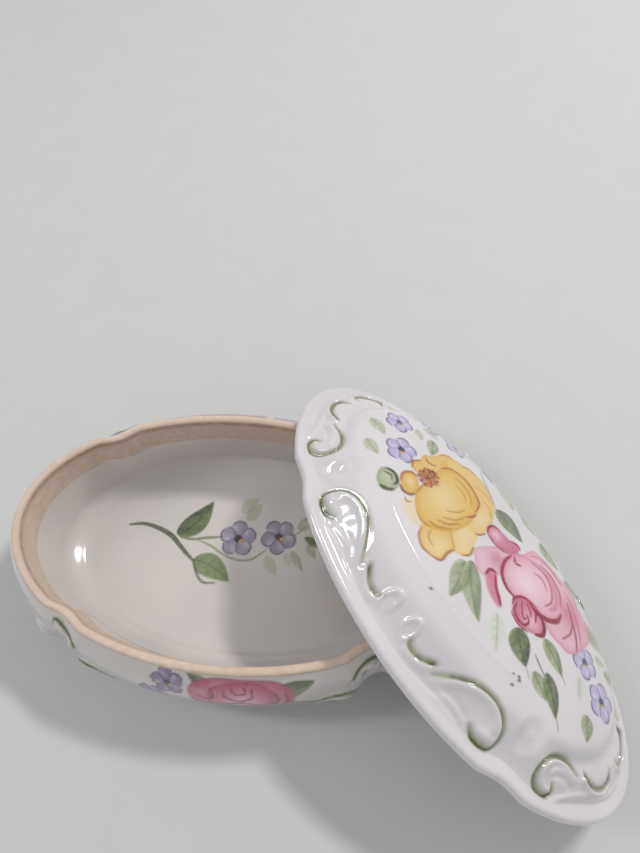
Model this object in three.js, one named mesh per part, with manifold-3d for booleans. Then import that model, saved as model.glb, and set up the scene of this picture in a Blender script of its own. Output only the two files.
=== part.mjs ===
import * as THREE from 'three';
import { mergeVertices } from 'three/addons/utils/BufferGeometryUtils.js';
import Module from 'manifold-3d';

// Oval porcelain trinket box: a swelling body with four flutes, and a domed lid with raised
// scrolls that is lifted off and leans over one end of the body.
// Origin: middle of the underside of the body. X runs along the box, Z is up.

// ---- body ----
const rimHalfLength = 75;
const rimHalfWidth = 44.3;
const bodyHeight = 36;
const rimWidth = 3;
const seatDepth = 12;           // bare band inside the rim, for the lid's locating flange
const seatDraft = 1.2;
const bellyEnd = 4.5;           // how far the wall swells past the rim at the ends
const bellySide = 6.5;          // and along the sides
const bellyHeight = 20;
const footInset = 8;
const floorThickness = 5;
const coveInsetEnd = 8;         // where the wall turns into the floor
const coveInsetSide = 5;
const coveHeight = 11;

// ---- flutes: four shallow hollows between the end lobes and the long sides ----
const fluteAt = 0.655;          // place along the half length, as a share of it
const fluteHalfWidth = 6.5;
const fluteDepth = 1.6;

// ---- lid ----
const lidOverEnd = 3.6;          // how far the lip stands past the rim at the ends
const lidOverSide = 0.9;        // and along the sides
const lipThickness = 3.4;
const lipWidth = 4.5;
const domeRise = 16.8;
const lidWall = 2.8;
const flangeGap = 0.6;          // between the flange and the rim when the box is shut
const flangeThickness = 2.6;
const flangeDepth = 3.5;

// ---- raised scrolls ----
const scrollWidth = 3;
const scrollFacets = 6;
const scrollSteps = 10;

// ---- lean of the lid: its lip on the table and its hollow over the end of the body ----
const leanTurn = -50.9;         // degrees from the box's own long axis
const leanTip = 7.7;
const leanFromEnd = 0.8;        // how far its middle lies in from the rim's end
const leanAcross = -4.6;
const tableGap = 0.3;           // clearance where it rests on the table
const rimGap = 1.1;             // and, measured straight down, where it rests on the rim
const leanSteps = 10;

const around = 96;
const lidHalfLength = rimHalfLength + lidOverEnd;
const lidHalfWidth = rimHalfWidth + lidOverSide;
const domeHalfLength = lidHalfLength - lipWidth;
const domeHalfWidth = lidHalfWidth - lipWidth;
const fluteAngle = Math.acos(fluteAt);

// A point of the fluted oval: an ellipse with a shallow parabolic hollow at each flute.
function ovalPoint([halfLength, halfWidth, depth, z], angle) {
  const c = Math.cos(angle);
  const s = Math.sin(angle);
  const n = Math.hypot(c / halfLength, s / halfWidth);
  const folded = Math.atan2(Math.abs(s), Math.abs(c));
  const run = Math.hypot(halfLength * Math.sin(fluteAngle), halfWidth * Math.cos(fluteAngle));
  const u = (folded - fluteAngle) * run * rimHalfLength / (fluteHalfWidth * halfLength);
  const hollow = depth * Math.max(0, 1 - u * u) / n;
  return new THREE.Vector3(
    halfLength * c - hollow * c / halfLength,
    halfWidth * s - hollow * s / halfWidth,
    z,
  );
}

// A lathe of unit radius with each of its vertices set by place(ring, angle).
function turned(rings, facets, place) {
  const profile = [];
  for (let j = 0; j < rings; j++) {
    profile.push(new THREE.Vector2(j === 0 || j === rings - 1 ? 0 : 1, j));
  }
  const geometry = new THREE.LatheGeometry(profile, facets);
  const position = geometry.attributes.position;
  for (let i = 0; i <= facets; i++) {
    for (let j = 0; j < rings; j++) {
      const p = place(j, 2 * Math.PI * (i % facets) / facets);
      position.setXYZ(i * rings + j, p.x, p.y, p.z);
    }
  }
  geometry.deleteAttribute('normal');
  geometry.deleteAttribute('uv');
  return mergeVertices(geometry, 1e-4);
}

// A closed shell over stations [half length, half width, flute depth, height].
function shell(startZ, stations, endZ) {
  const last = stations.length + 1;
  return turned(last + 1, around, (j, angle) => {
    if (j === 0) return new THREE.Vector3(0, 0, startZ);
    if (j === last) return new THREE.Vector3(0, 0, endZ);
    return ovalPoint(stations[j - 1], angle);
  });
}

// Points of a smooth profile through the given [offset, height] pairs.
function profile(pairs, steps) {
  const curve = new THREE.SplineCurve(pairs.map(([x, z]) => new THREE.Vector2(x, z)));
  return curve.getPoints(steps);
}

// ---- body surface: swelling wall, flat rim, drafted seat, cove and floor ----
// The wall's profile runs from the foot (-1) past the belly (1) to the rim (0).
const wallProfile = profile([
  [-1, 0],
  [0.2, bellyHeight * 0.4],
  [1, bellyHeight],
  [0.62, bodyHeight - 7],
  [0, bodyHeight - 1.4],
], 12);

function wallStation(swell, z) {
  const end = swell < 0 ? footInset : bellyEnd;
  const side = swell < 0 ? footInset : bellySide;
  const depth = fluteDepth * Math.min(1, z / bellyHeight) * (1 + 0.3 * Math.max(0, swell));
  return [rimHalfLength + swell * end, rimHalfWidth + swell * side, depth, z];
}

function insetStation(inset, z, depth) {
  return [rimHalfLength - inset, rimHalfWidth - inset, depth, z];
}

// The inside: 0 at the foot of the seat's draft, 1 at the cove, then on across the floor.
const insideProfile = profile([
  [0, bodyHeight - seatDepth],
  [1, coveHeight],
  [2.2, floorThickness + 0.8],
  [4, floorThickness],
], 8);

function insideStation(step, z) {
  const seat = rimWidth + seatDraft;
  const beyond = Math.max(0, step - 1) * 6;
  const end = seat + Math.min(step, 1) * (coveInsetEnd - seat) + beyond;
  const side = seat + Math.min(step, 1) * (coveInsetSide - seat) + beyond;
  const depth = fluteDepth * Math.max(0, (z - floorThickness) / (bodyHeight - floorThickness));
  return [rimHalfLength - end, rimHalfWidth - side, depth, z];
}

const bodyStations = [
  ...wallProfile.map(p => wallStation(p.x, p.y)),
  insetStation(0.4, bodyHeight - 0.4, fluteDepth),
  insetStation(1, bodyHeight, fluteDepth),
  insetStation(rimWidth - 0.8, bodyHeight, fluteDepth),
  insetStation(rimWidth, bodyHeight - 0.8, fluteDepth),
  ...insideProfile.map(p => insideStation(p.x, p.y)),
];

// ---- lid surface: hollow, flange, lip and dome ----
function domeHeight(share, rise) {
  return rise * Math.pow(Math.max(0, 1 - Math.pow(share, 2.6)), 1 / 1.9);
}

const flangeLength = rimHalfLength - rimWidth - flangeGap;
const flangeWidth = rimHalfWidth - rimWidth - flangeGap;
const hollowRise = lipThickness + domeRise - lidWall;
const hollowShares = [0.3, 0.52, 0.7, 0.83, 0.92, 0.975];
const domeShares = [1, 0.985, 0.955, 0.91, 0.85, 0.77, 0.67, 0.54, 0.39, 0.2];

const lidStations = [
  ...hollowShares.map(s => [
    s * (flangeLength - flangeThickness),
    s * (flangeWidth - flangeThickness),
    fluteDepth * Math.pow(s, 6),
    domeHeight(s, hollowRise),
  ]),
  [flangeLength - flangeThickness, flangeWidth - flangeThickness, fluteDepth, 0],
  [flangeLength - flangeThickness, flangeWidth - flangeThickness, fluteDepth, 0.6 - flangeDepth],
  [flangeLength - flangeThickness + 0.6, flangeWidth - flangeThickness + 0.6, fluteDepth, -flangeDepth],
  [flangeLength - 0.6, flangeWidth - 0.6, fluteDepth, -flangeDepth],
  [flangeLength, flangeWidth, fluteDepth, 0.6 - flangeDepth],
  [flangeLength, flangeWidth, fluteDepth, 0],
  [lidHalfLength - 1.1, lidHalfWidth - 1.1, fluteDepth, 0],
  [lidHalfLength, lidHalfWidth, fluteDepth, lipThickness * 0.42],
  [lidHalfLength - 0.3, lidHalfWidth - 0.3, fluteDepth, lipThickness * 0.78],
  [lidHalfLength - 1.4, lidHalfWidth - 1.4, fluteDepth, lipThickness],
  ...domeShares.map(s => [
    s * domeHalfLength,
    s * domeHalfWidth,
    fluteDepth * 1.3 * Math.pow(s, 5),
    lipThickness + domeHeight(s, domeRise),
  ]),
];

function lidSurface(lengthShare, widthShare) {
  const share = Math.min(1, Math.hypot(lengthShare, widthShare));
  return new THREE.Vector3(
    lengthShare * domeHalfLength,
    widthShare * domeHalfWidth,
    lipThickness + domeHeight(share, domeRise),
  );
}

// The body's wall on the side that faces -Y.
function wallSurface(alongShare, heightShare) {
  const x = alongShare * rimHalfLength;
  const z = heightShare * bodyHeight;
  const swell = wallProfile.reduce((a, b) => (Math.abs(b.y - z) < Math.abs(a.y - z) ? b : a)).x;
  const [halfLength, halfWidth] = wallStation(swell, z);
  return new THREE.Vector3(x, -halfWidth * Math.sqrt(1 - (x / halfLength) ** 2), z);
}

// A raised scroll: a round cord, thin at both ends, along a curve drawn on a surface.
function scroll(surface, plan) {
  const curve = new THREE.SplineCurve(plan.map(([x, y]) => new THREE.Vector2(x, y)));
  const path = new THREE.CatmullRomCurve3(curve.getPoints(scrollSteps).map(p => surface(p.x, p.y)));
  const frames = path.computeFrenetFrames(scrollSteps);
  const last = scrollSteps + 2;
  return turned(last + 1, scrollFacets, (j, angle) => {
    const k = Math.min(scrollSteps, Math.max(0, j - 1));
    const centre = path.getPointAt(k / scrollSteps);
    if (j === 0 || j === last) return centre;
    const radius = scrollWidth / 2 * (0.4 + 0.6 * Math.sin(Math.PI * k / scrollSteps));
    return centre
      .addScaledVector(frames.normals[k], radius * Math.cos(angle))
      .addScaledVector(frames.binormals[k], radius * Math.sin(angle));
  });
}

const wasm = await Module();
wasm.setup();

function toManifold(geometry) {
  return new wasm.Manifold(new wasm.Mesh({
    numProp: 3,
    vertProperties: geometry.attributes.position.array,
    triVerts: new Uint32Array(geometry.index.array),
  }));
}

function toGeometry(manifold) {
  const mesh = manifold.getMesh();
  const geometry = new THREE.BufferGeometry();
  geometry.setAttribute('position', new THREE.BufferAttribute(mesh.vertProperties, 3));
  geometry.setIndex(new THREE.BufferAttribute(mesh.triVerts, 1));
  geometry.computeVertexNormals();
  return geometry;
}

// The piece with its scrolls, each one repeated in the four quarters of the oval.
function withScrolls(shellGeometry, surface, plans) {
  let whole = toManifold(shellGeometry);
  for (const plan of plans) {
    const one = toManifold(scroll(surface, plan));
    for (const piece of [one, one.mirror([1, 0, 0])]) {
      whole = whole.add(piece).add(piece.mirror([0, 1, 0]));
    }
  }
  return toGeometry(whole);
}

// Plan of the lid's scrolls in one quarter, as shares of the dome's half length and half
// width: long comma, short comma, end scroll and end leaf.
const lidScrolls = [
  [[0.243, -0.85], [0.364, -0.71], [0.472, -0.64], [0.56, -0.7], [0.553, -0.79], [0.506, -0.77]],
  [[0.223, -0.8], [0.148, -0.86], [0.067, -0.87], [0.03, -0.82], [0.051, -0.79]],
  [[0.843, -0.5], [0.789, -0.55], [0.735, -0.52], [0.726, -0.42], [0.776, -0.31], [0.85, -0.27]],
  [[0.864, -0.22], [0.924, -0.19], [0.945, -0.1], [0.911, -0.05]],
];

// Scrolls of the wall, either side of each flute, as shares of half length and height.
const wallScrolls = [
  [[0.4, 0.44], [0.48, 0.6], [0.56, 0.6], [0.58, 0.47], [0.53, 0.43]],
  [[0.88, 0.44], [0.83, 0.6], [0.76, 0.6], [0.747, 0.47], [0.793, 0.43]],
];

function porcelain(colour) {
  return new THREE.MeshStandardMaterial({ color: colour, roughness: 0.18, metalness: 0 });
}

const group = new THREE.Group();

const body = new THREE.Mesh(
  withScrolls(shell(0, bodyStations, floorThickness), wallSurface, wallScrolls),
  porcelain(0xd9d3d0),
);
body.name = 'body';
group.add(body);

const lid = new THREE.Mesh(
  withScrolls(shell(hollowRise, lidStations, lipThickness + domeRise), lidSurface, lidScrolls),
  porcelain(0xe4dfe2),
);
lid.name = 'lid';

const leaning = new THREE.Group();
leaning.add(lid);
group.add(leaning);

function worldPoints(mesh) {
  const position = mesh.geometry.attributes.position;
  const points = [];
  for (let i = 0; i < position.count; i++) {
    points.push(new THREE.Vector3().fromBufferAttribute(position, i).applyMatrix4(mesh.matrixWorld));
  }
  return points;
}

// The shortest way from any of the points to the mesh, straight along the direction.
function shortestWay(points, direction, mesh) {
  const ray = new THREE.Raycaster();
  let shortest = Infinity;
  for (const point of points) {
    ray.set(point, direction);
    const [hit] = ray.intersectObject(mesh);
    if (hit) shortest = Math.min(shortest, hit.distance);
  }
  return shortest;
}

// With the lid clear above the body at a lean, how far it can come straight down before its
// edge meets the table, and before it meets the body.
const startHeight = 3 * bodyHeight;
const up = new THREE.Vector3(0, 0, 1);
const down = new THREE.Vector3(0, 0, -1);
function waysDown(lean) {
  leaning.rotation.set(
    -lean,
    THREE.MathUtils.degToRad(leanTip),
    THREE.MathUtils.degToRad(leanTurn),
    'ZYX',
  );
  leaning.position.set(rimHalfLength - leanFromEnd, leanAcross, startHeight);
  group.updateMatrixWorld(true);
  const rimPoints = worldPoints(body).filter(p => p.x > 0 && p.z > bodyHeight - 10);
  const whole = worldPoints(lid);
  const over = whole.filter(p => p.x < rimHalfLength + bellyEnd);
  return {
    toTable: Math.min(...whole.map(p => p.z)) - tableGap,
    toBody: Math.min(shortestWay(rimPoints, up, lid), shortestWay(over, down, body)) - rimGap,
  };
}

// The lean at which the lid rests on the table and on the body at once.
let flatter = THREE.MathUtils.degToRad(5);
let steeper = THREE.MathUtils.degToRad(60);
for (let i = 0; i < leanSteps; i++) {
  const lean = (flatter + steeper) / 2;
  const { toTable, toBody } = waysDown(lean);
  if (toTable > toBody) flatter = lean;
  else steeper = lean;
}
const { toTable, toBody } = waysDown((flatter + steeper) / 2);
leaning.position.z = startHeight - Math.min(toTable, toBody);

export default group;
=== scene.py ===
import math
import bpy
import numpy as np
from mathutils import Euler, Matrix, Vector


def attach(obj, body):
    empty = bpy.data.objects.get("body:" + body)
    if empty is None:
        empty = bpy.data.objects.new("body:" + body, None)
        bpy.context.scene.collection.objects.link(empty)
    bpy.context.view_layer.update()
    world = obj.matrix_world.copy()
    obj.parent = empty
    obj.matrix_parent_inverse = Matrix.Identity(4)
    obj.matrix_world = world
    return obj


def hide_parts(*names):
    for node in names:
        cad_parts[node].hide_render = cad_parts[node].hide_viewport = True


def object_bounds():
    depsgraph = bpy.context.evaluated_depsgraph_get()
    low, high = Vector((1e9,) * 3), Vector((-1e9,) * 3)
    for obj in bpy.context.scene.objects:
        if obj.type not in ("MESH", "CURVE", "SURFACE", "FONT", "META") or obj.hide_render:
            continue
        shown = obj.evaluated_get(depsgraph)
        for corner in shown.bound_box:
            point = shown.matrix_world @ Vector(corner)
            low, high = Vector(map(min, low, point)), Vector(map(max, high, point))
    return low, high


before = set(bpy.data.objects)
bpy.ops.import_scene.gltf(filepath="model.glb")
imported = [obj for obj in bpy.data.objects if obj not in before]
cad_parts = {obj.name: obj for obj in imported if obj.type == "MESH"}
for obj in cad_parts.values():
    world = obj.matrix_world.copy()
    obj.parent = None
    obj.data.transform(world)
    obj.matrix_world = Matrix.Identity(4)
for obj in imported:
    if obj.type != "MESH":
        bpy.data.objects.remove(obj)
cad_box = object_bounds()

# ---- The box body ----
# A slip-cast porcelain bowl: an oval with four shallow flutes, a swelling wall, a flat rim and a
# seat just inside it for the lid. It is one casting, glazed all over but for the rim and the seat.
rim_long, rim_wide, body_high = 75.0, 44.3, 36.0
belly_end, belly_side, belly_high = 4.5, 6.5, 20.0
foot_inset, rim_width, seat_deep, seat_draft = 8.0, 3.0, 12.0, 1.2
floor_thick, cove_end, cove_side, cove_high = 5.0, 8.0, 5.0, 11.0
flute_angle, flute_half, flute_deep, flute_spread = math.acos(0.655), 6.5, 1.6, 1.35
mm = 0.001


def oval(angle, half_long, half_wide, deep):
    """Points of an ellipse with a shallow hollow at each flute."""
    c, s = np.cos(angle), np.sin(angle)
    n = np.hypot(c / half_long, s / half_wide)
    folded = np.arctan2(abs(s), abs(c))
    run = np.hypot(half_long * math.sin(flute_angle), half_wide * math.cos(flute_angle))
    u = (folded - flute_angle) * run * rim_long / (flute_half * half_long)
    hollow = deep * np.clip(1 - (u / flute_spread) ** 2, 0, 1) ** 2 / n
    return half_long * c - hollow * c / half_long, half_wide * s - hollow * s / half_wide


def smooth_line(points, count):
    """A smooth run of points through the given ones."""
    p = np.array(points, float)
    p = np.vstack([2 * p[0] - p[1], p, 2 * p[-1] - p[-2]])
    at = np.linspace(0, len(p) - 3, count)
    k = np.minimum(at.astype(int), len(p) - 4)
    t = (at - k)[:, None]
    a, b, c, d = p[k], p[k + 1], p[k + 2], p[k + 3]
    return 0.5 * (2 * b + (c - a) * t + (2 * a - 5 * b + 4 * c - d) * t ** 2
                  + (3 * b - a - 3 * c + d) * t ** 3)


def ease(low, high, value):
    """A soft step from 0 at low to 1 at high."""
    t = np.clip((value - low) / (high - low), 0, 1)
    return t * t * (3 - 2 * t)


def closed_skin(name, rings, around):
    """A closed mesh over rings of points; the first and the last ring each close on themselves."""
    points = np.concatenate(rings)
    step = np.arange(around)
    ahead = (step + 1) % around
    rows = np.arange(len(rings) - 1)[:, None] * around
    faces = np.stack([rows + step, rows + ahead, rows + around + ahead, rows + around + step], -1)
    faces = faces.reshape(-1, 4)
    caps = []
    for first, turn in ((0, 1), ((len(rings) - 1) * around, -1)):
        for i in range(around // 2):
            j, k = (around - i) % around, (around - i - 1) % around
            quad = list(dict.fromkeys([first + i, first + j, first + k, first + i + 1]))
            if len(quad) > 2:
                caps.append(quad[::turn])
    mesh = bpy.data.meshes.new(name)
    mesh.from_pydata((points * mm).tolist(), [], faces.tolist() + caps)
    mesh.validate()
    mesh.polygons.foreach_set("use_smooth", [True] * len(mesh.polygons))
    thing = bpy.data.objects.new(name, mesh)
    bpy.context.scene.collection.objects.link(thing)
    return thing, points


def ring(angle, half_long, half_wide, deep, z):
    """One level ring of the fluted oval."""
    x, y = oval(angle, half_long, half_wide, deep)
    return np.stack([x, y, np.full_like(x, z)], -1)


def inward(outline, half_spine, shares):
    """Rings that shrink from an outline onto a short spine along its middle."""
    x, y, z = outline.T
    spine = np.clip(x * half_spine / abs(x).max(), -half_spine, half_spine)
    return [np.stack([x + (spine - x) * t, y * (1 - t), z], -1) for t in shares]


body_around = 720
angles = np.linspace(0, 2 * np.pi, body_around, endpoint=False)
wall = smooth_line([(-1, 0), (0.2, belly_high * 0.4), (1, belly_high),
                    (0.62, body_high - 7), (0, body_high - 1.4)], 60)
inside = smooth_line([(0, body_high - seat_deep), (1, cove_high), (1.9, floor_thick + 1.5),
                      (2.4, floor_thick + 0.25), (3, floor_thick), (4, floor_thick)], 60)


def wall_ring(swell, z):
    end = foot_inset if swell < 0 else belly_end
    side = foot_inset if swell < 0 else belly_side
    deep = flute_deep * min(1, z / belly_high) * (1 + 0.3 * max(0, swell))
    return ring(angles, rim_long + swell * end, rim_wide + swell * side, deep, z)


def inside_ring(step, z):
    seat_foot = rim_width + seat_draft
    beyond = max(0, step - 1) * 6
    end = seat_foot + min(step, 1) * (cove_end - seat_foot) + beyond
    side = seat_foot + min(step, 1) * (cove_side - seat_foot) + beyond
    deep = flute_deep * max(0, (z - floor_thick) / (body_high - floor_thick))
    return ring(angles, rim_long - end, rim_wide - side, deep, z)


foot = wall_ring(*wall[0])
under = inward(foot, 30, np.linspace(1, 0.02, 24))
outer = [wall_ring(*p) for p in wall]
rim = [ring(angles, rim_long - i, rim_wide - i, flute_deep, z) for i, z in smooth_line(
    [(0.06, body_high - 1), (0.4, body_high - 0.4), (1, body_high - 0.06), (1.6, body_high),
     (rim_width - 0.8, body_high - 0.1), (rim_width - 0.2, body_high - 0.5),
     (rim_width, body_high - 1)], 16)]
seat = [ring(angles, rim_long - rim_width - seat_draft * t, rim_wide - rim_width - seat_draft * t,
             flute_deep, body_high - 1 - (seat_deep - 1) * t) for t in np.linspace(0.06, 0.96, 18)]
inner = [inside_ring(*p) for p in inside]
floor_rings = inward(inner[-1], 27, np.linspace(0.02, 1, 46))
rings = under + outer + rim + seat + inner + floor_rings
body, body_points = closed_skin("box_body", rings, body_around)
body_ring_of = np.repeat(np.arange(len(rings)), body_around)
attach(body, "body")
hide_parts("body")


# The painter's brush. Colours go on over each other, and each point of the skin keeps the
# pigment that it has taken and how far that covers the glaze.
def tint(red, green, blue):
    return np.array([(c / 255) ** 2.2 for c in (red, green, blue)])


def near_line(x, y, line):
    """How far each point is from a line, how far along it, and on which side."""
    gap, along, side = np.full(len(x), 1e6), np.zeros(len(x)), np.ones(len(x))
    for k in range(len(line) - 1):
        (ax, ay), (dx, dy) = line[k], line[k + 1] - line[k]
        t = np.clip(((x - ax) * dx + (y - ay) * dy) / (dx * dx + dy * dy + 1e-12), 0, 1)
        away = np.hypot(x - ax - t * dx, y - ay - t * dy)
        near = away < gap
        gap = np.where(near, away, gap)
        along = np.where(near, (k + t) / (len(line) - 1), along)
        side = np.where(near, np.sign(dx * (y - ay) - dy * (x - ax)), side)
    return gap, along, side


class Painting:
    """Paint laid over part of a skin, in the plan that x and y give, in millimetres."""

    def __init__(self, x, y, allowed):
        self.x, self.y, self.allowed = x, y, allowed
        self.pigment = np.zeros((len(x), 3))
        self.cover = np.zeros(len(x))

    def around(self, points, margin):
        low, high = np.min(points, 0) - margin, np.max(points, 0) + margin
        return np.flatnonzero(self.allowed & (self.x > low[0]) & (self.x < high[0])
                              & (self.y > low[1]) & (self.y < high[1]))

    def lay(self, where, mask, colour):
        mask = np.clip(mask, 0, 1)
        colour = np.asarray(colour, float)
        self.pigment[where] = self.pigment[where] * (1 - mask[:, None]) + colour * mask[:, None]
        self.cover[where] = self.cover[where] * (1 - mask) + mask

    def stroke(self, points, width, colour, strength=0.9, taper=0.3):
        line = smooth_line(points, 7 * len(points))
        at = self.around(line, width + 1)
        gap, along, _ = near_line(self.x[at], self.y[at], line)
        ends = np.clip(np.minimum(along, 1 - along) / taper, 0, 1)
        half = width / 2 * (0.25 + 0.75 * np.sqrt(ends))
        self.lay(at, strength * (1 - ease(half - 0.22, half + 0.28, gap)), colour)

    def patch(self, points, colour, strength=0.9, edge=None, edge_width=1.5, soft=0.35,
              light=None, light_at=None, light_size=5):
        p = np.array(points, float)
        p = np.vstack([p[-1], p, p[:2]])
        line = smooth_line(p, 8 * len(p))
        step = 8 * len(p) // (len(p) - 1)
        line = line[step:-step]
        line = np.vstack([line, line[0]])
        at = self.around(line, 2)
        x, y = self.x[at], self.y[at]
        gap, _, _ = near_line(x, y, line)
        within = np.zeros(len(at), bool)
        for (ax, ay), (bx, by) in zip(line[:-1], line[1:]):
            if ay != by:
                cross = (ay > y) != (by > y)
                within ^= cross & (x < (bx - ax) * (y - ay) / (by - ay) + ax)
        depth = np.where(within, gap, -gap)
        shade = np.tile(np.asarray(colour, float), (len(at), 1))
        if light is not None:
            glow = np.exp(-((x - light_at[0]) ** 2 + (y - light_at[1]) ** 2) / light_size ** 2)
            shade += (light - shade) * glow[:, None]
        if edge is not None:
            rim_shade = np.exp(-np.clip(depth, 0, None) / edge_width)
            shade += (edge - shade) * (0.8 * rim_shade)[:, None]
        self.lay(at, strength * ease(-soft, soft, depth), shade)

    def leaf(self, base, tip, width, dark, pale, bend=0.0, strength=0.85, veins=0.7):
        base, tip = np.array(base, float), np.array(tip, float)
        axis = tip - base
        size = np.hypot(*axis)
        along_x, along_y = axis / size
        reach = np.array([base, tip])
        at = self.around(reach, width + abs(bend) + 1)
        px, py = self.x[at] - base[0], self.y[at] - base[1]
        u = (px * along_x + py * along_y) / size
        v = py * along_x - px * along_y - 4 * bend * u * (1 - u)
        ok = np.clip(u, 0, 1)
        half = width / 2 * np.sin(math.pi * ok ** 0.72) ** 0.85
        blade = ease(-0.35, 0.35, half - abs(v)) * ease(-0.02, 0.04, u) * (1 - ease(0.97, 1.05, u))
        across = np.clip(v / np.maximum(half, 0.3), -1, 1)
        tone = np.clip(0.5 + 0.5 * across + 0.25 * np.sin(9 * ok + 3 * across), 0, 1)[:, None]
        shade = pale + (dark - pale) * tone
        self.lay(at, strength * blade, shade)
        mid = np.exp(-(v / 0.28) ** 2) * ease(-0.02, 0.1, u) * (1 - ease(0.75, 1, u))
        side_vein = np.exp(-(((u * 4.5 - abs(across) * 0.9) % 1 - 0.5) * size / 4.5 / 0.3) ** 2)
        side_vein *= blade * ease(0.1, 0.5, 1 - abs(across)) * 0.5
        self.lay(at, veins * strength * np.maximum(mid, side_vein) * blade, dark * 0.35)

    def flower(self, centre, size, turn, fill, line_colour):
        """Five petals round a dark eye with a yellow spot."""
        cx, cy = centre
        petal = ((0.12, 0.1), (0.45, 0.42), (0.82, 0.44), (1.04, 0.12), (1.0, -0.2),
                 (0.74, -0.44), (0.4, -0.34), (0.12, -0.1))
        for k in range(5):
            a = turn + 2 * math.pi * k / 5
            ux, uy = math.cos(a), math.sin(a)
            edge = [(cx + size * (r * ux - w * uy), cy + size * (r * uy + w * ux)) for r, w in petal]
            self.patch(edge, fill, 0.8, edge=fill * 0.8, edge_width=0.8,
                       light=fill * 0.4 + 0.6, light_at=edge[1], light_size=size * 0.3)
            self.stroke(edge[2:6] if k % 2 else edge[1:5], 0.45, line_colour, 0.85)
            if k % 2 == 0:
                self.stroke([edge[0], edge[7], edge[6], edge[5]], 0.4, line_colour, 0.6)
        turns = np.linspace(0, 5.2, 6)
        eye = [(cx + size * 0.24 * math.cos(b), cy + size * 0.22 * math.sin(b)) for b in turns]
        self.patch(eye, line_colour * 0.25, 0.95)
        spot = [(cx + size * (0.18 + 0.11 * math.cos(b)), cy + size * (0.11 * math.sin(b) - 0.12))
                for b in turns]
        self.patch(spot, tint(214, 158, 40), 0.95, soft=0.2)


def keep(mesh, name, values):
    """Store up to four values a point on the mesh, for the porcelain to read."""
    layer = mesh.attributes.new(name, "FLOAT_COLOR", "POINT")
    flat = np.ones((len(mesh.vertices), 4), np.float32)
    flat[:, :values.shape[1]] = values
    layer.data.foreach_set("color", flat.ravel())


# The floor's spray: a stem, two leaves, two violet flowers and pale leaves round them.
green, deep_green = tint(112, 130, 78), tint(54, 70, 32)
soft_green, violet, ink = tint(164, 172, 136), tint(136, 124, 158), tint(54, 38, 72)
bx, by, bz = body_points.T
on_floor = (body_ring_of >= len(rings) - len(inner) - len(floor_rings)) & (bz < 8)
spray = Painting(bx, by, on_floor)
spray.leaf((-4, 18), (2, 25), 5, soft_green, soft_green, strength=0.6, veins=0)
spray.leaf((-1, 15), (3.5, 22.5), 4.5, soft_green, soft_green, strength=0.6, veins=0)
spray.leaf((8, 2), (12.8, -5), 4.2, soft_green, soft_green, strength=0.55, veins=0)
spray.leaf((15, 4), (17.5, -1.5), 2.6, soft_green, soft_green, strength=0.35, veins=0)
spray.leaf((17, 4.8), (22.5, -2.5), 3.2, green, soft_green, strength=0.6, veins=0)
spray.leaf((19, 13), (24, 19.5), 4.6, green, soft_green, strength=0.55, veins=0)
spray.leaf((21.5, 10.5), (30, 7), 3.2, deep_green, green, strength=0.85)
spray.leaf((23, 8), (26.5, 2.5), 3.2, green, soft_green, strength=0.6, veins=0.2)
spray.stroke([(14.5, 10), (19, 12), (21.5, 15)], 0.7, green, 0.6)
spray.stroke([(-26, 6), (-21, 5.6), (-16, 6.6), (-9, 7.8)], 1.0, green * 0.8, 0.85, 0.2)
spray.stroke([(-19, 5.6), (-13.3, 3.7), (-8.7, 1.2), (-3.1, -0.5), (2.6, 0.1), (8, 4.5)], 0.8,
             green, 0.75, 0.2)
spray.stroke([(-46.5, 8.9), (-41, 9.8), (-35.4, 8.8), (-29.4, 6.3), (-25.6, 3.1), (-21.3, -0.7),
              (-18.5, -2.8)], 1.9, deep_green * 0.9 + 0.02, 0.9, 0.45)
spray.leaf((-27, 6.5), (-15.6, 21.5), 8.4, deep_green, green * 0.75, bend=-1.6, strength=0.95)
spray.leaf((-19, -1.8), (-4, -9), 9, green * 0.9, green, bend=1.2, strength=0.9)
spray.stroke([(-19, -2), (-17, -6.6), (-14, -10), (-9, -10)], 0.9, deep_green, 0.8)
spray.flower((-3.6, 7.6), 6.6, 0.3, violet, ink)
spray.flower((11.8, 9.8), 6.4, 0.9, violet * 0.85, ink)

# The outside of the wall: a rose with two violets and leaves on each long side.
rose_deep, rose, rose_pale = tint(146, 30, 68), tint(198, 98, 132), tint(226, 176, 192)
on_wall = (body_ring_of >= len(under)) & (body_ring_of < len(under) + len(outer))
wall_along = np.where(by < 0, bx, -bx)
wall_art = Painting(wall_along, bz, on_wall & (abs(bx) < 52))
wall_art.leaf((20, 27), (33, 32), 7, deep_green, green)
wall_art.leaf((20, 20), (34, 20), 7, deep_green, green * 0.9)
wall_art.leaf((-4, 18), (-19, 12), 7, deep_green, green * 0.9)
wall_art.leaf((2, 30), (-6, 35), 4, deep_green, green)
wall_art.flower((-12, 30), 5, 0.4, tint(110, 84, 140), tint(50, 30, 66))
wall_art.flower((-18, 22), 4.6, 1.0, tint(132, 112, 160), tint(58, 40, 80))
wall_art.patch([(-5, 31), (-5, 24), (0, 18), (8, 13), (18, 14), (25, 20), (27, 28), (22, 33),
                (10, 34), (2, 34)], rose, 0.9, edge=rose_deep, light=rose_pale, light_at=(8, 24),
               light_size=7)
wall_art.patch([(2, 31), (0, 25), (4, 20), (11, 18), (18, 20), (21, 26), (18, 32), (10, 33)], rose,
               0.9, edge=rose_deep, light=rose_pale, light_at=(11, 24), light_size=5)
wall_art.patch([(5, 22), (8, 17), (14, 16), (19, 19), (16, 23), (10, 24)], rose_pale, 0.85,
               edge=rose)
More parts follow.
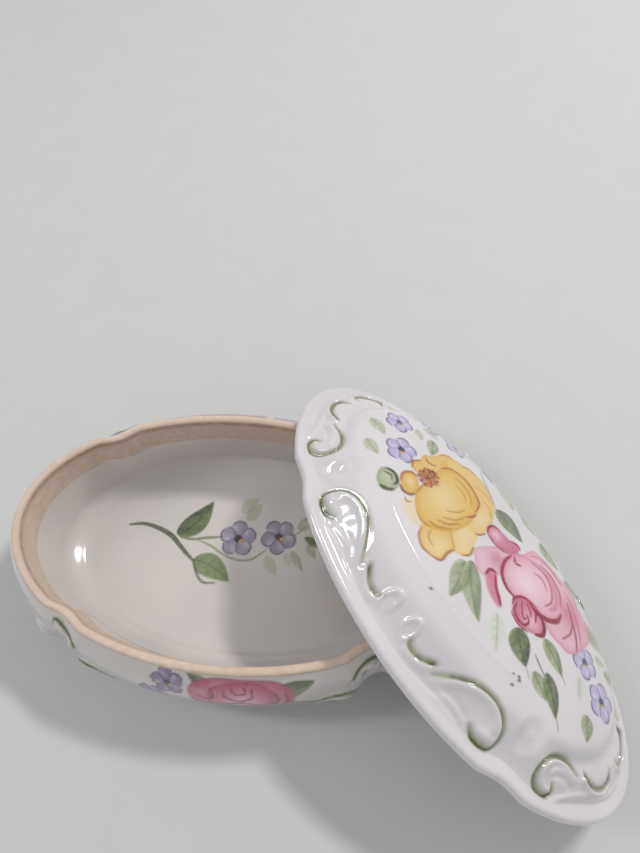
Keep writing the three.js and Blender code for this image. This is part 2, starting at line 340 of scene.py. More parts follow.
for points, width in (([(-3, 27), (0, 25), (2, 27), (1, 31)], 1.0),
                      ([(5, 31), (6, 27), (10, 25), (14, 27), (14, 31)], 0.9),
                      ([(8, 31), (9, 28.5), (12, 29), (12, 31.5)], 0.8),
                      ([(0, 23), (5, 22), (11, 24), (17, 22), (22, 23)], 0.9),
                      ([(20, 30), (22, 26), (20, 22)], 1.0), ([(24, 29), (25, 25), (23, 20)], 1.1),
                      ([(4, 17), (11, 14.5), (18, 15.5)], 0.9)):
    wall_art.stroke(points, width, rose_deep * 0.7, 0.9)
keep(body.data, "pigment", spray.pigment + wall_art.pigment)

# The moulded scrolls of the wall stand out of the skin beside each flute, with a green wash along
# one side of them. The rim and the seat are wiped bare, and a faint stain runs inside the rim.
scroll_lift, scroll_half, wash_off, wash_half = 1.7, 1.7, 1.6, 0.5
wash = np.zeros(len(bx))
swelled = body_points.copy()
ahead = np.roll(body_points.reshape(-1, body_around, 3), -1, 1) - np.roll(
    body_points.reshape(-1, body_around, 3), 1, 1)
out_x, out_y = ahead[..., 1].ravel(), -ahead[..., 0].ravel()
size = np.maximum(np.hypot(out_x, out_y), 1e-9)
out_x, out_y = out_x / size, out_y / size
for plan in ([(31, 14.5), (35, 19), (39.5, 21.5), (43.5, 20.5), (44.5, 17), (41.5, 15.4)],
             [(67.5, 14), (64, 20), (59.5, 22.8), (56, 21), (56.2, 17), (59, 15.6)],
             [(44.6, 27), (47, 30.4), (50.4, 31), (51.2, 28)]):
    line = smooth_line(plan, 40)
    gap, along, side = near_line(abs(bx), bz, line)
    ends = ease(0, 0.12, along) * ease(0, 0.12, 1 - along) * 0.75 + 0.25
    knobs = 0.85 + 0.3 * np.cos(along * 4 * math.pi)
    lift = scroll_lift * ends * knobs * np.exp(-(gap / scroll_half) ** 2) * on_wall
    swelled[:, 0] += out_x * lift
    swelled[:, 1] += out_y * lift
    tone = 0.9 * on_wall * ends * np.exp(-((gap - wash_off) / wash_half) ** 2) * (side > 0)
    wash = np.maximum(wash, tone)
low, high = np.array(cad_box[0]) / mm, np.array(cad_box[1]) / mm
body.data.vertices.foreach_set("co", (np.clip(swelled, low, high) * mm).ravel())
rim_from = len(under) + len(outer)
bare = ((body_ring_of >= rim_from) & (body_ring_of < rim_from + len(rim) + len(seat))) * 1.0
bare *= 1 - ease(-0.7, 0.3, -(bz - (body_high - seat_deep)) + 0.2 * np.sin(bx * 0.9)) * (bz < 30)
stain = bare * np.exp(-((bz - (body_high - 1.6)) / 1.1) ** 2) * (body_ring_of >= rim_from + 8)
stain *= 0.15 + 0.4 * ease(0.2, -0.6, np.cos(np.arctan2(by, bx) - 5.6))
keep(body.data, "covers", np.stack([np.maximum(spray.cover, wall_art.cover), wash, bare], -1))
keep(body.data, "stain", np.stack([stain, stain, stain], -1))


# What the porcelain is made of: a warm white body under clear glaze, bare and biscuit-coloured
# where it was wiped, with thin overglaze colours fired into the glaze. The mesh's "covers" hold
# how far the paint, the green wash and the bare biscuit each cover it.
class Value:
    """A socket that takes part in sums. Numbers go through Math nodes and colours through Mix."""

    def __init__(self, tree, socket):
        self.tree, self.socket = tree, socket

    def node(self, kind, settings=None, out=0, **inputs):
        made = self.tree.nodes.new(kind)
        for key, value in (settings or {}).items():
            setattr(made, key, value)
        for key, value in inputs.items():
            place = made.inputs[int(key[1:])] if key[1:].isdigit() else made.inputs[
                key.replace("_", " ")]
            if isinstance(value, Value):
                self.tree.links.new(value.socket, place)
            else:
                place.default_value = value
        return Value(self.tree, made.outputs[out])

    def output(self, number):
        return Value(self.tree, self.socket.node.outputs[number])

    def sum(self, operation, a, b, clamp=False):
        return self.node("ShaderNodeMath", {"operation": operation, "use_clamp": clamp}, i0=a, i1=b)

    def __add__(self, other):
        return self.sum("ADD", self, other)

    def __radd__(self, other):
        return self.sum("ADD", other, self)

    def __rsub__(self, other):
        return self.sum("SUBTRACT", other, self)

    def __mul__(self, other):
        return self.sum("MULTIPLY", self, other)

    def __rmul__(self, other):
        return self.sum("MULTIPLY", other, self)

    def clamped(self):
        return self.sum("ADD", self, 0.0, clamp=True)

    def between(self, low, high):
        """A soft step from 0 at low to 1 at high."""
        return self.node("ShaderNodeMapRange", {"interpolation_type": "SMOOTHSTEP"},
                         Value=self, From_Min=low, From_Max=high)

    def blend(self, a, b):
        """Colour a where this is 0 and b where it is 1."""
        return self.node("ShaderNodeMix", {"data_type": "RGBA", "clamp_factor": True}, out=2,
                         i0=self, i6=a, i7=b)


def porcelain(thing, name, glaze, warmth, roughness):
    material = bpy.data.materials.new(name)
    material.use_nodes = True
    tree = material.node_tree
    shader = tree.nodes["Principled BSDF"]
    start = Value(tree, None)
    place = start.node("ShaderNodeTexCoord", out=3)
    covers = start.node("ShaderNodeAttribute", {"attribute_name": "covers"})
    cover = start.node("ShaderNodeSeparateColor", i0=covers)
    green_wash, bare_part = cover.output(1), cover.output(2)
    stain_part = start.node("ShaderNodeAttribute", {"attribute_name": "stain"}, out=2)
    pigment = start.node("ShaderNodeAttribute", {"attribute_name": "pigment"})

    clouds = start.node("ShaderNodeTexNoise", Vector=place, Scale=26.0, Detail=3.0)
    fine = start.node("ShaderNodeTexNoise", Vector=place, Scale=420.0, Detail=4.0)
    speck = start.node("ShaderNodeTexVoronoi", {"feature": "F1"}, Vector=place, Scale=150.0)
    brush = start.node("ShaderNodeTexNoise", Vector=place, Scale=900.0, Detail=2.0)

    ground = clouds.between(0.3, 0.75).blend(glaze, warmth)
    fleck = (1 - speck.between(0.02, 0.07)) * fine.between(0.58, 0.7) * 0.35
    ground = fleck.blend(ground, (*tint(120, 108, 96), 1))
    wash_tone = fine.between(0.35, 0.7).blend((*tint(88, 98, 40), 1), (*tint(136, 144, 84), 1))
    wash_tone = green_wash.between(0.55, 0.95).blend(wash_tone, (*tint(62, 68, 26), 1))
    ground = (green_wash * (1.0 + 0.5 * clouds)).clamped().blend(ground, wash_tone)
    thin = cover * (0.82 + 0.3 * brush)
    uncovered = thin.clamped().blend(ground, (0, 0, 0, 1))
    streaks = brush.between(0.1, 0.9).blend((0.9, 0.9, 0.9, 1), (1.06, 1.06, 1.06, 1))
    paint = start.node("ShaderNodeMix", {"data_type": "RGBA", "blend_type": "MULTIPLY"}, out=2,
                       i0=1.0, i6=pigment, i7=streaks)
    painted = start.node("ShaderNodeMix", {"data_type": "RGBA", "blend_type": "ADD"}, out=2,
                         i0=1.0, i6=uncovered, i7=paint)
    biscuit = fine.between(0.3, 0.8).blend((*tint(208, 187, 170), 1), (*tint(222, 204, 190), 1))
    biscuit = (clouds.between(0.4, 0.7) * 0.5).blend(biscuit, (*tint(204, 180, 160), 1))
    biscuit = (stain_part * (0.35 + 0.9 * fine.between(0.3, 0.7))).clamped().blend(
        biscuit, (*tint(150, 96, 60), 1))
    colour = bare_part.blend(painted, biscuit)
    tree.links.new(colour.socket, shader.inputs["Base Color"])
    dull = roughness + 0.05 * clouds + 0.08 * cover + 0.42 * bare_part
    tree.links.new(dull.clamped().socket, shader.inputs["Roughness"])
    tree.links.new((1 - bare_part).clamped().socket, shader.inputs["Coat Weight"])
    for socket, amount in (("Coat Roughness", 0.03), ("Coat IOR", 1.5), ("IOR", 1.5)):
        shader.inputs[socket].default_value = amount
    ripple = clouds * 0.5 + fine * (0.02 + 0.3 * bare_part) + 0.05 * (cover * brush)
    bump = start.node("ShaderNodeBump", Height=ripple, Strength=0.35, Distance=0.0004)
    tree.links.new(bump.socket, shader.inputs["Normal"])
    thing.data.materials.append(material)


# The bowl's glaze is set a little darker and greyer than the lid's: painted shade, as the bowl's
# inside lies in shade.
porcelain(body, "glazed bowl", (*tint(214, 207, 203), 1), (*tint(203, 198, 196), 1), 0.14)

# ---- The lid ----
# A domed cover cast in one piece: a plain rounded lip, a belt of moulded scrolls, four flutes, a
# low crown painted with two roses, and a locating flange under the lip. It leans on the box.
over_end, over_side, lip_thick, lip_wide = 3.6, 0.9, 3.4, 4.5
dome_rise, lid_wall = 16.8, 2.8
flange_gap, flange_thick, flange_deep = 0.6, 2.6, 3.5
shoulder_at, terrace_at, cove_wide = 0.66, 0.865, 9
thumb_x, thumb_y, curl_x, curl_y = 45, 23.5, 4.6, 37.0
lean_turn, lean_tip, lean_back = -50.9, 7.7, -31.238
lean_at = (rim_long - 0.8, -4.6, 25.944)
lid_long, lid_wide = rim_long + over_end, rim_wide + over_side
dome_long, dome_wide = lid_long - lip_wide, lid_wide - lip_wide
flange_long = rim_long - rim_width - flange_gap
flange_wide = rim_wide - rim_width - flange_gap
lid_around = 800
angles = np.linspace(0, 2 * np.pi, lid_around, endpoint=False)


def dome(share, rise):
    return rise * np.clip(1 - share ** 2.6, 0, 1) ** (1 / 1.9)


hollow_rise = lip_thick + dome_rise - lid_wall
hollow = [ring(angles, s * (flange_long - flange_thick), s * (flange_wide - flange_thick),
               flute_deep * s ** 6, dome(s, hollow_rise))
          for s in np.sin(np.linspace(0.01, math.pi / 2 - 0.02, 40))]
flange = [ring(angles, flange_long - i, flange_wide - i, flute_deep, z) for i, z in (
    (flange_thick, 0), (flange_thick, -1.5), (flange_thick, 0.6 - flange_deep),
    (flange_thick - 0.2, 0.2 - flange_deep), (flange_thick - 0.6, -flange_deep),
    (0.6, -flange_deep), (0.2, 0.2 - flange_deep), (0, 0.6 - flange_deep), (0, -1.5), (0, -0.2))]
lip_under = [ring(angles, flange_long + t * (lid_long - 1.1 - flange_long),
                  flange_wide + t * (lid_wide - 1.1 - flange_wide), flute_deep, 0)
             for t in np.linspace(0.04, 1, 9)]
lip_edge = [ring(angles, lid_long - i, lid_wide - i, flute_deep, z) for i, z in smooth_line(
    [(0.8, 0.02), (0.2, 0.5), (0, lip_thick * 0.42), (0.3, lip_thick * 0.78),
     (1.0, lip_thick - 0.1), (1.6, lip_thick)], 16)]
shares = np.concatenate([np.linspace(0.006, 0.42, 66), np.linspace(0.427, 0.997, 70)])
top = inward(lip_edge[-1], 34, shares)
lid_rings = hollow + flange + lip_under + lip_edge + top
lid, lid_points = closed_skin("box_lid", lid_rings, lid_around)
lid_ring_of = np.repeat(np.arange(len(lid_rings)), lid_around)
on_top = lid_ring_of >= len(lid_rings) - len(top) - 10
lx, ly, lz = lid_points.T.copy()

# The form of the crown: a dome that rises gently from its foot, four flutes, a terrace at each
# end, a thumb dimple in each quarter and a fine ridge along each long shoulder.
share = np.hypot(lx / dome_long, ly / dome_wide)
unit_x, unit_y = lx / dome_long / np.maximum(share, 1e-6), ly / dome_wide / np.maximum(share, 1e-6)
slope = np.hypot(unit_x / dome_long, unit_y / dome_wide)
folded = np.arctan2(abs(unit_y), abs(unit_x))
run = math.hypot(dome_long * math.sin(flute_angle), dome_wide * math.cos(flute_angle))
u = (folded - flute_angle) * run * rim_long / (flute_half * dome_long)
flute = np.clip(1 - (u / flute_spread) ** 2, 0, 1) ** 2
fluted = share + 1.3 * flute_deep * share ** 5 * flute * slope
from_foot = np.clip((1 - fluted) / slope, -5, 60)
rise = dome(np.clip(fluted, 0, 1), dome_rise)
height = lip_thick + rise * np.sqrt(ease(-0.6, cove_wide, from_foot))
at_end = 1 - ease(math.radians(30), math.radians(43), folded)
height -= 2.6 * at_end * ease(0.78, 0.86, fluted) * np.exp(
    -(np.clip(fluted - terrace_at, -1, 1) / 0.05) ** 2)
fx, fy = abs(lx), abs(ly)
thumb = np.hypot(fx - thumb_x, (fy - thumb_y) * 1.1)
height -= 1.9 * (1 - ease(1.2, 5, thumb)) * (0.6 + 0.4 * ease(-3, 3, fy - thumb_y))
along_side = ease(math.radians(38), math.radians(48), folded)
height += 0.5 * along_side * np.exp(-abs(fluted - shoulder_at) / 0.035)

# The scrolls, drawn in one quarter and alike in all four: a groove along each line and a raised
# roll beside it. Each has its line, the roll's height, the groove's depth, the strength of its
# green wash and the side that its roll is on. The first four are the long and the short comma of
# the side and the two hooks of the end, and the last four are plain ridges.
roll_off, roll_half, groove_off, groove_half, tone_half = 1.2, 0.85, 0.15, 0.55, 0.62
scrolls = (
    ([(33.6, 34.2), (36.4, 34.7), (39.2, 34.1), (41.2, 32.8), (41.7, 31), (40.5, 29.4), (38.2, 28.6),
      (35.2, 28.4), (32, 28.7), (28.8, 29.6), (25.8, 31), (22.5, 33.1), (19.8, 35.2),
      (17.8, 36.8)], 1.1, 0.8, 1.0, -1),
    ([(16.4, 35.6), (14.4, 36.6), (12, 37.6), (9.2, 38), (6.6, 37.6)], 0.9, 0.7, 0.95, -1),
    ([(58.6, 21.8), (60.4, 22.6), (59.4, 24.6), (56.6, 25.4), (53.9, 24.6), (52.6, 22.2),
      (53.2, 19.4), (55.2, 17.1), (58.2, 15.4), (61.6, 14.6)], 1.2, 0.9, 1.0, 1),
    ([(62.6, 12), (65.2, 11.6), (68, 9.6), (69.8, 6.6), (69.8, 3.8), (67.6, 2.2)], 1.1, 0.9,
     0.95, 1),
    ([(42.6, 35), (38, 36.7), (32, 36.4), (25.6, 37.2), (19.6, 38.6), (13, 39.6)], 0.8, 0.3,
     0.0, -1),
    ([(32.4, 34.6), (29, 34.8), (25.6, 35.4), (21.6, 36.8)], 0.6, 0.3, 0.0, -1),
    ([(63.4, 17), (60, 18.2), (57.6, 20.2), (57.4, 22)], 0.6, 0.4, 0.0, 1),
    ([(63.2, 24.6), (65.4, 19.2), (68.4, 14.3), (72.2, 8.6), (74.4, 3.6), (75, -3)], 0.9, 0.3, 0.0,
     -1),
)
relief = np.zeros(len(lx))
lid_wash = np.zeros(len(lx))
near_edge = np.flatnonzero(on_top & (share > 0.62))
ex, ey = fx[near_edge], fy[near_edge]
for plan, roll, groove, wash_depth, hand in scrolls:
    line = smooth_line(plan, 60)
    gap, along, side = near_line(ex, ey, line)
    off = gap * side * hand
    ends = 0.25 + 0.75 * ease(0, 0.1, along) * ease(0, 0.2, 1 - along)
    beyond = ease(2.2, 0, gap * ((along <= 0) | (along >= 1)))
    bump = roll * np.exp(-((off - roll_off) / roll_half) ** 2)
    bump -= groove * np.exp(-((off + groove_off) / groove_half) ** 2)
    relief[near_edge] += bump * ends * beyond
    if wash_depth:
        tone = wash_depth * np.exp(-((off + groove_off) / tone_half) ** 2) * ends ** 0.5 * beyond
        tone *= 0.7 + 0.18 * ease(0.4, 0.1, along)
        lid_wash[near_edge] = np.maximum(lid_wash[near_edge], tone)
# Mounds and hollows between the lines, and the small curls near the middle of each long side.
for cx, cy, high_by, wide in ((38.2, 31.6, 1.2, 1.9), (31, 32.6, -0.4, 2.2),
                              (59.2, 22.8, 0.5, 1.3), (65.6, 7, -0.5, 2.0),
                              (4.4, 37.0, 0.3, 1.0)):
    relief += high_by * np.exp(-((fx - cx) ** 2 + (fy - cy) ** 2) / wide ** 2)
curl = np.hypot(fx - curl_x, fy - curl_y)
relief += 1.2 * np.exp(-((curl - 2.1) / 0.7) ** 2) * ease(
    -2.6, 0.5, curl_y + 0.2 - fy + 0.4 * (fx - curl_x))
height += relief * on_top * ease(-1.6, 0.6, from_foot)
lz = np.where(lid_ring_of >= len(lid_rings) - len(top), height, lz)
lean = Matrix.Rotation(math.radians(lean_turn), 3, "Z") @ Matrix.Rotation(
    math.radians(lean_tip), 3, "Y") @ Matrix.Rotation(math.radians(lean_back), 3, "X")
placed = np.stack([lx, ly, lz], -1) @ np.array(lean).T + lean_at
lid.data.vertices.foreach_set("co", (np.clip(placed, low, high) * mm).ravel())
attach(lid, "lid")
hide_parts("lid")

# The crown's painting: pale leaves first, then the violets, the yellow rose and the pink rose.
art = Painting(lx, ly, on_top)
pale_leaf, grey_leaf = tint(182, 190, 158), tint(206, 212, 198)
olive = tint(120, 128, 74)
for base, tip, width, dark, pale, bend, strength in (
        ((-57.5, -4.2), (-49, -5.4), 5, soft_green, pale_leaf, 0.3, 0.7),
        ((-51, -12.6), (-43.6, -13.6), 4.6, soft_green, pale_leaf, -0.3, 0.7),
        ((-41, 12.5), (-35.8, 5.2), 5, green, soft_green, 0.2, 0.8),
        ((-47, 10), (-42, 7), 4, soft_green, pale_leaf, 0, 0.6),
        ((-47, 15), (-40, 16), 4, soft_green, pale_leaf, 0, 0.6),
        ((-25.5, 31), (-17.6, 25.4), 4.6, deep_green, green, 0.2, 0.8),
        ((-17, 30), (-6.5, 25), 7, soft_green, pale_leaf, 0.4, 0.75),
        ((-5.5, 29.5), (4, 26.5), 5.5, green, soft_green, 0, 0.75),
        ((-10, 14.8), (3.4, 15.6), 8, deep_green, green, 0.8, 0.9),
        ((6.6, 26), (17, 25), 8, green * 0.8, soft_green, 0.6, 0.85),
        ((20.5, 24), (33, 31), 6, deep_green, olive, 0.4, 0.85),
        ((33.5, 17.5), (45.5, 21), 7.4, green, soft_green, 0.4, 0.85),
        ((48, 13.4), (54.4, 18.4), 4.6, green, soft_green, 0, 0.7),
        ((43, 13), (47, 17), 3.4, soft_green, pale_leaf, 0, 0.6),
        ((14.6, -14.2), (22.6, -22.6), 5.6, grey_leaf, grey_leaf, 0.2, 0.75),
        ((42.6, 0.6), (47, -4.8), 3.8, grey_leaf, grey_leaf, 0, 0.7),
        ((50.8, -5), (56.2, -9.6), 5, green, soft_green, 0.3, 0.8),
        ((-2.5, -13), (3.5, -25), 6.8, green, soft_green, 0.6, 0.85),
        ((-1.5, -10.8), (13.8, -21.6), 7, green * 0.9, soft_green, -1.2, 0.85),
        ((21, -10.8), (30.6, -16.2), 7.6, deep_green, green, -0.4, 0.92),
        ((28.2, -4), (39.4, -6.2), 5.4, green * 0.85, soft_green, 0.3, 0.88),
        ((32.6, -14.6), (40.8, -15.8), 4.6, green, soft_green, 0, 0.8),
        ((35.2, -10.6), (46, -16), 5, deep_green, green, 0.2, 0.88)):
    art.leaf(base, tip, width, dark, pale, bend, strength)
art.stroke([(29.6, -10.6), (32.2, -11.3), (35.6, -12)], 0.5, deep_green, 0.8)
art.stroke([(30.6, -16), (33.4, -17.3)], 0.4, green, 0.6)
art.stroke([(39, -6), (41.4, -6.8)], 0.4, green, 0.6)
art.stroke([(46, -15.6), (48.6, -17)], 0.4, green, 0.6)
art.stroke([(-24, 24), (-16, 19), (-10, 15)], 0.5, deep_green, 0.7)
art.stroke([(-52, 17), (-46, 19), (-38, 22)], 0.5, ink * 0.6, 0.8)
bud = [(-39.4, -16.4), (-37.6, -13.8), (-34.2, -13.6), (-31.4, -16), (-31, -19.4), (-33.4, -21.4),
       (-37.4, -20)]
art.patch(bud, soft_green, 0.85, edge=green, light=pale_leaf, light_at=(-36, -17.4), light_size=3)
art.stroke([(-38.6, -15), (-36, -13.8), (-33, -15), (-32.6, -17)], 1.1, deep_green * 0.6, 0.9)
art.stroke([(-38, -16.6), (-35.6, -15.4), (-34, -16.6)], 0.6, deep_green * 0.7, 0.8)
art.stroke([(-34.6, -21), (-32.2, -20), (-31.2, -18)], 1.1, deep_green * 0.6, 0.9)

lavender, plum = tint(172, 162, 206), tint(52, 40, 92)
for centre, size, turn in (((-51.8, 5.2), 4.8, 0.5), ((-42, -4.6), 5.2, 0.9),
                           ((-46, 21), 4.4, 0.2), ((-35.4, 22.4), 4.6, 0.7),
                           ((41.2, 6.8), 4.9, 0.3), ((52.2, 4.2), 5.2, 0.8)):
    art.flower(centre, size, turn, lavender, plum)

yellow, gold, butter = tint(222, 182, 86), tint(202, 146, 42), tint(230, 202, 140)
rust, brown = tint(160, 84, 20), tint(110, 44, 16)
art.patch([(-30.5, 5), (-34, 12.6), (-31.5, 14.6), (-27.3, 17.6), (-22.7, 19.8), (-17.9, 19.6),
           (-12, 16), (-7.8, 10), (-6, 3.6), (-6.4, -2.6), (-11, -4)], yellow, 0.92, edge=gold,
          edge_width=0.7, light=butter, light_at=(-9, 5), light_size=7)
art.patch([(-34.6, -6.6), (-36.6, -4.2), (-36.2, -1), (-37, 2.4), (-35.4, 5.6), (-34.4, 12.4),
           (-29, 6), (-28, -4)], yellow, 0.9, edge=gold, edge_width=0.8)
art.patch([(-27, -17.8), (-23.1, -20.6), (-18.6, -20), (-17, -17.4), (-24.6, -13)], butter, 0.55)
art.patch([(-32.9, -13.6), (-34.5, -11.4), (-34, -8.6), (-31, -7.6), (-27, -11), (-27.6, -14.4),
           (-30, -15.6)], yellow, 0.95, edge=gold, edge_width=1.2, light=butter,
          light_at=(-31, -11), light_size=1.6)
art.patch([(-17.4, -17.4), (-16.6, -20), (-13.8, -22.2), (-10.6, -22.6), (-7.4, -21.6),
           (-6, -19.8), (-6.2, -17), (-6.4, -14), (-8, -9), (-13, -11)], yellow, 0.9, edge=gold,
          edge_width=0.8, light=butter, light_at=(-9, -18), light_size=4)
art.patch([(-11, -10), (-6.6, -14.2), (-3.8, -12.6), (-2.8, -9.4), (-4.4, -5.6), (-6.4, -2),
           (-12, -3)], butter, 0.9, edge=yellow, edge_width=1)
art.patch([(-26.6, -12.8), (-23.1, -16), (-18.8, -17.6), (-15, -15.8), (-11.7, -11.3),
           (-10.4, -3.5), (-11.8, 4.6), (-14.2, 8.8), (-18.4, 11.6), (-23.3, 11.8), (-28.2, 9.4),
           (-30.4, 4.9), (-29.4, 0.6), (-28.4, -5.2), (-28.4, -8.6)], yellow, 0.95, edge=gold,
          edge_width=1.6, light=butter * 0.98, light_at=(-22, -4), light_size=7.5)
for points, width, colour in (
        ([(-30.4, 4.6), (-28.6, 9), (-23.6, 11.4), (-18.7, 11), (-14.2, 9), (-12.6, 4.6)], 0.9,
         rust),
        ([(-25.4, 7.4), (-21.2, 8.4), (-17.6, 7.4), (-14.7, 4.8)], 0.7, gold * 0.8),
        ([(-23.6, 5), (-19.6, 5.4), (-16.6, 3.6)], 0.5, gold * 0.8),
        ([(-17.6, -15.2), (-14.6, -13.6), (-12, -9.8)], 0.8, gold * 0.75),
        ([(-16.6, -12.4), (-13.6, -9.4), (-12, -5)], 0.7, gold * 0.75),
        ([(-16.4, -9.8), (-13.6, -5.8), (-12.8, -1)], 0.6, gold * 0.8),
        ([(-17.6, -6.6), (-15.4, -3), (-14.8, 1)], 0.5, gold * 0.85),
        ([(-12.8, -1), (-11.8, 2), (-11.9, 4)], 0.7, rust),
        ([(-26.9, -12.2), (-27.8, -8.6), (-27.6, -5.6)], 0.5, gold * 0.7),
        ([(-22, -16.4), (-18.6, -17.4), (-15.8, -16)], 0.5, gold * 0.75),
        ([(-8.4, -22), (-6, -20.2), (-6.7, -16.9), (-6.4, -13.8)], 0.8, rust),
        ([(-3.9, -12.6), (-2.7, -9.8), (-4, -6.6)], 0.7, rust),
        ([(-7.1, -2), (-5.9, -0.6), (-5.3, 2.2)], 0.6, rust),
        ([(-17, -19), (-15.4, -21.4), (-12, -22.8), (-8.4, -22)], 0.7, rust),
        ([(-15, -16.6), (-13.4, -19), (-10.4, -19.6)], 0.5, gold * 0.75),
        ([(-11.4, -11), (-8.4, -12.6), (-6.8, -13.6)], 0.5, gold * 0.8),
        ([(-32.6, -14), (-34.6, -11.2), (-33.6, -8), (-31.2, -7.2)], 0.9, rust),
        ([(-31.8, -15), (-29.6, -15.7), (-27.4, -14.6), (-26.8, -12.6)], 1.0, brown),
        ([(-35, -6), (-36.6, -3.8), (-35.8, -0.8)], 0.7, rust),
        ([(-36, 2), (-33.9, 1.4), (-31.6, 3.4)], 0.7, rust),
        ([(-34.6, 9), (-34, 12), (-31.6, 14)], 0.5, rust),
        ([(-27.8, 16), (-26.2, 18.4), (-23.2, 19.2)], 0.6, rust),
        ([(-20, 13.6), (-17, 15.4), (-13.4, 15.4)], 0.5, gold * 0.8),
        ([(-15, 11.6), (-11.6, 12), (-8.6, 9.6)], 0.5, gold * 0.8),
        ([(-27.6, -16.6), (-26, -17.2), (-25.2, -15.8)], 0.5, rust)):
    art.stroke(points, width, colour, 0.85)
heart = np.random.default_rng(7)
art.patch([(-32.4, -5.6), (-32.6, -2), (-30.6, 0.4), (-27.8, -0.6), (-26.4, -4), (-27.4, -6.8),
           (-30.2, -7.4)], tint(168, 84, 36), 0.7, soft=0.7)
for k in range(58):
    a, r = heart.uniform(0, 2 * math.pi), 4.3 * math.sqrt(heart.uniform(0.02, 1))
    px, py = -29.6 + r * math.cos(a) * 0.85, -3.4 + r * math.sin(a)
    qx, qy = px + heart.uniform(-0.9, 0.9), py + heart.uniform(-0.9, 0.9)
    art.stroke([(px, py), ((px + qx) / 2 + 0.15, (py + qy) / 2), (qx, qy)],
               heart.uniform(0.45, 0.8), (brown, tint(84, 20, 16), tint(176, 92, 50))[k % 3], 0.9)

crimson = tint(152, 0, 56)
art.patch([(-3.4, -5), (-2.6, -7.8), (1.6, -10.6), (5, -9.4), (7, -3), (4.2, 6.4), (0.2, 3.6)],
          rose_pale, 0.75, edge=rose, edge_width=0.7, light=rose, light_at=(3, -1), light_size=3.5)
art.patch([(4.2, 6.4), (6.1, 11.2), (7.6, 18.6), (13.7, 21.6), (19.9, 22.8), (25.5, 23), (30, 20.8),
           (34.3, 20.4), (38.4, 16), (38.6, 10.4), (37.7, 5.4), (36, 1.8), (32.3, 0.4), (29.4, -0.4),
           (26, 0), (16, 4)], rose_pale * 0.97, 0.9, edge=rose, edge_width=1.0, light=rose,
          light_at=(29, 14), light_size=6)
art.patch([(-5.2, 2.8), (-6.4, 4.8), (-6, 7.6), (-3.4, 9.2), (0.5, 10.4), (3.1, 12.2), (4.8, 11.6),
           (4.6, 7.6), (1.5, 4), (-1.9, 2.4)], rose, 0.9, edge=rose * 0.85, edge_width=0.8,
          light=rose_pale, light_at=(-3.4, 6), light_size=2.4)
art.patch([(4, -9.2), (4.2, -6), (6, -4.8), (9.6, -8.2), (13.8, -11), (13.7, -12.8), (10.4, -12.9),
           (7.2, -11.9)], rose, 0.85, edge=rose_pale, edge_width=0.6)
art.patch([(4.2, 6.4), (4.6, 1), (7.1, -3.2), (10.8, -4.9), (14.7, -4.3), (17, -1.6), (20.6, -0.4),
           (24.6, 1.3), (27.4, 5.2), (27.2, 10.4), (24, 15.4), (19.5, 18.3), (14.8, 18), (10.2, 14.8),
           (6.1, 11.2)], rose_pale, 0.95, edge=rose, edge_width=1.5, light=tint(238, 206, 216),
          light_at=(14, 4), light_size=6)
art.patch([(14, 15.8), (18.4, 14.6), (22.6, 10.4), (23.2, 5.4), (25.4, 7.6), (24.6, 12.6),
           (20.6, 16.6), (16.4, 17.4)], rose, 0.75, edge=rose_pale, edge_width=0.5)
art.patch([(15.6, -7.2), (14.3, -4.6), (16.2, -1), (20, 1.2), (23.8, 0.8), (26.3, -0.6),
           (27.3, -3.6), (25.2, -6.9), (21.3, -9.5), (17.3, -9.2)], rose, 0.92,
          edge=rose * 0.8, edge_width=0.8, light=rose_pale, light_at=(22.6, -4.6), light_size=3)
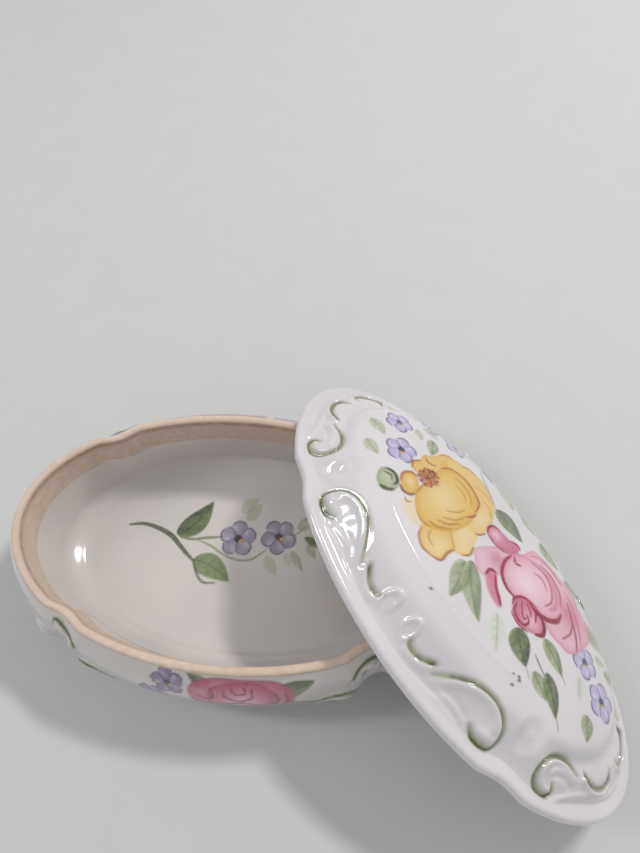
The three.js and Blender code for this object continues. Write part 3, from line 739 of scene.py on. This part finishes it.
for points, width, colour in (
        ([(4.4, 6.2), (4.5, 2), (6.6, -2.6), (10.6, -4.9), (15.4, -4.4)], 1.3, crimson),
        ([(18.4, -0.6), (22.4, 0.2), (25.6, 2.6), (27.4, 6), (27, 9.8)], 1.7, crimson * 0.8),
        ([(9.7, 13), (14.5, 15.2), (19.1, 13.8), (22.3, 9.4), (22, 5)], 0.6, rose_deep),
        ([(12, 16.6), (17, 18), (22, 16.4), (25.6, 11.4)], 0.6, rose_deep),
        ([(12.4, 10.4), (15.6, 12.2), (19, 10.8)], 0.8, rose),
        ([(5.2, 7), (7, 5.6), (8.6, 7)], 0.9, rose_deep),
        ([(15.4, -7), (14.4, -4.4), (16.4, -0.8), (20.4, 1)], 0.8, crimson),
        ([(15.8, -4.8), (17, -7.6), (19.6, -8.7), (22, -7.8), (22, -5.4), (20.2, -4.4)], 0.8,
         crimson),
        ([(16.4, -2.8), (19, -5.6), (20.6, -6.4), (21, -5)], 0.6, rose_deep),
        ([(18.6, -0.6), (21.4, -0.6), (23.6, -3.4)], 0.8, crimson),
        ([(17.8, -1.6), (20.2, -2.4), (21.6, -4)], 0.5, rose_deep),
        ([(22.4, 0.6), (25.8, -0.8), (27.4, -3.6), (25.8, -6.4)], 1.4, crimson * 0.7),
        ([(16.8, -9.4), (20.8, -9.8), (24, -8.4)], 0.6, crimson),
        ([(4.2, -9.2), (4, -6.2), (5.8, -4.8)], 1.1, crimson * 0.9),
        ([(5.8, -5.6), (9, -8.6), (12.4, -10.6), (13.8, -11.6)], 1.1, crimson),
        ([(-5, 2.9), (-6.4, 5), (-6, 7.8), (-3.6, 9.2)], 0.8, crimson),
        ([(0.8, 10.5), (3, 12.2), (4.8, 11.8)], 0.9, crimson),
        ([(-4.6, 3), (-1.6, 2.6), (1.6, 3.8), (4.2, 6)], 0.5, rose_deep),
        ([(25.6, 17.4), (30.4, 13.4), (35, 9.4), (37.6, 5.8)], 0.8, rose_deep),
        ([(31, 12.8), (32.6, 8.2), (32, 3)], 0.6, rose_deep),
        ([(23, 20), (28.4, 18.2), (33.6, 14), (37.4, 9.6)], 0.9, rose),
        ([(10, 19.6), (15.6, 20.8), (21.6, 20.6)], 0.5, rose_deep),
        ([(8, 14.6), (9.8, 17.8), (13, 19.4)], 0.6, rose)):
    art.stroke(points, width, colour, 0.97)
for x, y, w in ((30.9, -20.4, 0.9), (31.6, -20.9, 0.7), (31.3, -23.2, 0.7), (29.3, -21.4, 0.5),
                (-1.4, -28.6, 0.7)):
    art.stroke([(x, y), (x + 0.3, y + 0.4), (x + 0.8, y + 0.5)], w, crimson * 0.4, 0.8)
keep(lid.data, "pigment", art.pigment)
keep(lid.data, "covers", np.stack([art.cover, lid_wash, np.zeros(len(lx))], -1))
keep(lid.data, "stain", np.zeros((len(lx), 3)))
porcelain(lid, "glazed lid", (*tint(222, 217, 219), 1), (*tint(214, 209, 212), 1), 0.12)

# ---- The camera ----
# High over the box and a little to its near side, turned a few degrees off its long axis.
camera_at, camera_turns = (0.043836, -0.062629, 0.232755), (28.35, 2.0, 6.53)
camera = bpy.data.objects.new("camera", bpy.data.cameras.new("camera"))
camera.data.lens = 26.34
camera.data.sensor_width = 36
camera.data.clip_start = 0.01
camera.matrix_world = Matrix.LocRotScale(
    Vector(camera_at), Euler([math.radians(a) for a in camera_turns]), None)
bpy.context.scene.collection.objects.link(camera)
bpy.context.scene.camera = camera

# ---- The studio ----
# A plain pale floor and soft light: a small panel from behind on the right, a weaker strip from
# the left, and an even glow from the room.
floor_mesh = bpy.data.meshes.new("studio_floor")
floor_mesh.from_pydata([(-3, -3, 0), (3, -3, 0), (3, 3, 0), (-3, 3, 0)], [], [(0, 1, 2, 3)])
floor = bpy.data.objects.new("studio_floor", floor_mesh)
bpy.context.scene.collection.objects.link(floor)
paper = bpy.data.materials.new("pale paper")
paper.use_nodes = True
sheet = paper.node_tree.nodes["Principled BSDF"]
sheet.inputs["Roughness"].default_value = 0.85
pulp = Value(paper.node_tree, None)
grain = pulp.node("ShaderNodeTexNoise", Vector=pulp.node("ShaderNodeTexCoord", out=3),
                  Scale=60.0, Detail=3.0)
paper_tone = grain.between(0.3, 0.7).blend((0.60, 0.60, 0.595, 1), (0.61, 0.61, 0.605, 1))
paper.node_tree.links.new(paper_tone.socket, sheet.inputs["Base Color"])
floor_mesh.materials.append(paper)

for name, place, size, power, colour in (
        ("back_panel", (0.54, 0.56, 0.91), (0.2, 0.09), 6.6, (1.0, 0.985, 0.97)),
        ("side_panel", (-0.75, 0.0, 0.8), (0.12, 0.5), 2.5, (0.97, 0.98, 1.0))):
    lamp = bpy.data.lights.new(name, "AREA")
    lamp.shape, lamp.size, lamp.size_y = "RECTANGLE", *size
    lamp.energy, lamp.color = power, colour
    panel = bpy.data.objects.new(name, lamp)
    panel.location = place
    panel.rotation_euler = (Vector((0.02, 0, 0.02)) - Vector(place)).to_track_quat(
        "-Z", "Y").to_euler()
    bpy.context.scene.collection.objects.link(panel)
room = bpy.data.worlds.new("room")
bpy.context.scene.world = room
room.use_nodes = True
room.node_tree.nodes["Background"].inputs["Color"].default_value = (0.80, 0.81, 0.82, 1)
room.node_tree.nodes["Background"].inputs["Strength"].default_value = 0.57
bpy.context.scene.view_settings.view_transform = "Standard"
